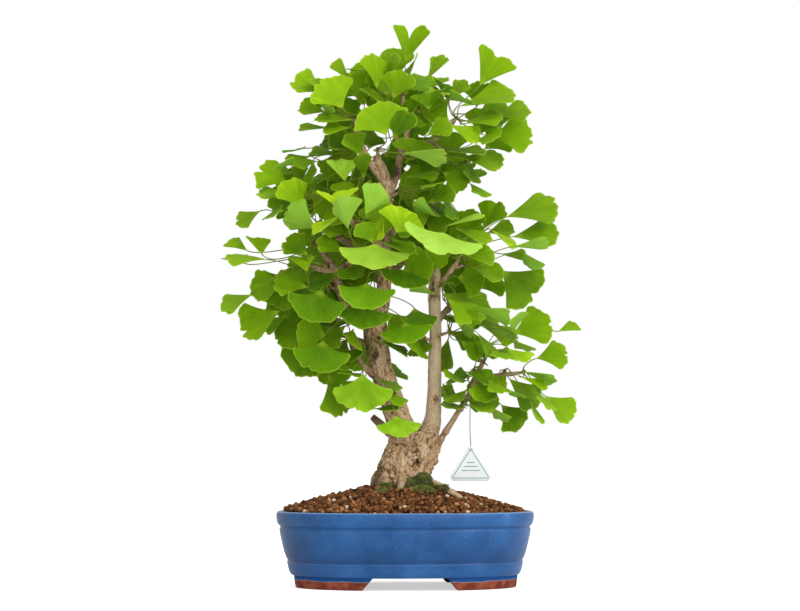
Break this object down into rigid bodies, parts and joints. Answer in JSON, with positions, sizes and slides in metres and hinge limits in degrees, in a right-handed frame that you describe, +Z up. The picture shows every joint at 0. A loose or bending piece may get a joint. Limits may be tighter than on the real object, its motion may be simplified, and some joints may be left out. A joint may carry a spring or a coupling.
{
  "type": "ginkgo bonsai",
  "caption": "Upright ginkgo bonsai with forked trunk, fan leaves on spurs, mounded soil, moss and hanging tag, in an oval glazed pot on feet.",
  "frame": {"origin": "middle of the pot's underside, on the surface that the feet stand on", "axes": "+Z up, +X to the pot's right-hand end as seen from the front, +Y from the front to the back"},
  "size_m": [0.3673, 0.2038, 0.5622],
  "materials": {
    "blue_glaze": "gloss",
    "bare_clay": "matte",
    "soil_grains": "matte",
    "bark": "matte",
    "leaf_green": "satin",
    "screen_plastic": "matte",
    "moss": "matte",
    "tag_card": "satin",
    "wire_steel": "satin"
  },
  "bodies": {
    "root": {"pot": "blue_glaze", "soil": "soil_grains", "wood": "bark", "drain_screen_left": "screen_plastic", "drain_screen_right": "screen_plastic", "moss_front": "moss", "moss_side": "moss", "tag": "tag_card", "tag_wire": "wire_steel", "leaves_crown_top": "leaf_green", "leaves_crown_front": "leaf_green", "leaves_crown_back": "leaf_green", "leaves_crown_right": "leaf_green", "leaves_right_top": "leaf_green", "leaves_right_high": "leaf_green", "leaves_right_mid": "leaf_green", "leaves_back_right_tip": "leaf_green", "leaves_back_right_mid": "leaf_green", "leaves_left_top": "leaf_green", "leaves_left_high": "leaf_green", "leaves_left_shoulder": "leaf_green", "leaves_left_back": "leaf_green", "leaves_trunk_top": "leaf_green", "leaves_dark_spur": "leaf_green", "leaves_left_wing": "leaf_green", "leaves_left_fold": "leaf_green", "leaves_middle_left": "leaf_green", "leaves_middle": "leaf_green", "leaves_left_far": "leaf_green", "leaves_left_far_low": "leaf_green", "leaves_left_curl": "leaf_green", "leaves_left_low": "leaf_green", "leaves_red_spur": "leaf_green", "leaves_middle_front": "leaf_green", "leaves_front_low": "leaf_green", "leaves_left_under": "leaf_green", "leaves_thin_left": "leaf_green", "leaves_trunk_knot": "leaf_green", "leaves_trunk_low": "leaf_green", "leaves_low_back": "leaf_green", "leaves_back_left_tip": "leaf_green", "leaves_back_left_mid": "leaf_green", "leaves_back_left_low": "leaf_green", "leaves_back_middle": "leaf_green", "leaves_bough": "leaf_green", "leaves_bough_right": "leaf_green", "leaves_right_stump": "leaf_green", "leaves_right_back_tip": "leaf_green", "leaves_right_back_mid": "leaf_green", "leaves_right_knot": "leaf_green", "leaves_trunk_gap": "leaf_green", "leaves_right_tip": "leaf_green", "leaves_right_fork": "leaf_green", "leaves_right_twig": "leaf_green", "leaves_right_twig_tip": "leaf_green", "leaves_right_low": "leaf_green", "leaves_right_inner": "leaf_green"}
  },
  "joints": []
}
